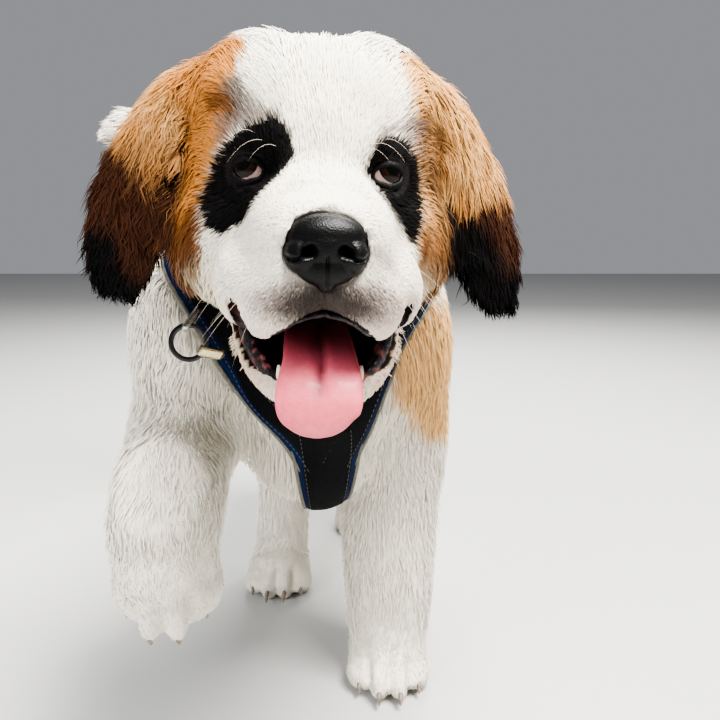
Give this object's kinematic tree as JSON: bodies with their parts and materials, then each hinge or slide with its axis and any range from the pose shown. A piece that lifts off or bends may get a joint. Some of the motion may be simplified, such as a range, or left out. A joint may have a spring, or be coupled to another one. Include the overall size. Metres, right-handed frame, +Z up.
{
  "type": "saint bernard puppy model",
  "caption": "Life-size still model of a Saint Bernard puppy walking, one forepaw lifted, mouth open and tongue out, in a padded harness.",
  "frame": {"origin": "middle of the underside of the whole model's bounding box, on the floor it stands on", "axes": "+Z up, -Y the way the puppy faces, +X towards its left side"},
  "size_m": [0.4832, 0.7836, 0.6289],
  "materials": {
    "white_coat": "soft fur",
    "red_coat": "soft fur",
    "dark_coat": "wavy fur",
    "eye_brown": "wet gloss",
    "nose_leather": "moist",
    "tongue_pink": "moist",
    "webbing": "woven",
    "black_ring": "satin",
    "steel": "satin"
  },
  "bodies": {
    "root": {"head": "white_coat", "jaw": "white_coat", "neck": "white_coat", "foreleg_left": "white_coat", "foreleg_right": "white_coat", "hind_leg_left": "white_coat", "hind_leg_right": "white_coat", "tail_root": "white_coat", "tail_tip": "white_coat", "torso": "red_coat", "ear_left": "dark_coat", "ear_right": "dark_coat", "eye_left": "eye_brown", "eye_right": "eye_brown", "nose": "nose_leather", "tongue": "tongue_pink", "harness_front": "webbing", "harness_girth": "webbing", "harness_back_pad": "webbing", "harness_ring": "black_ring", "ring_keeper": "steel", "ring_link": "steel"}
  },
  "joints": []
}
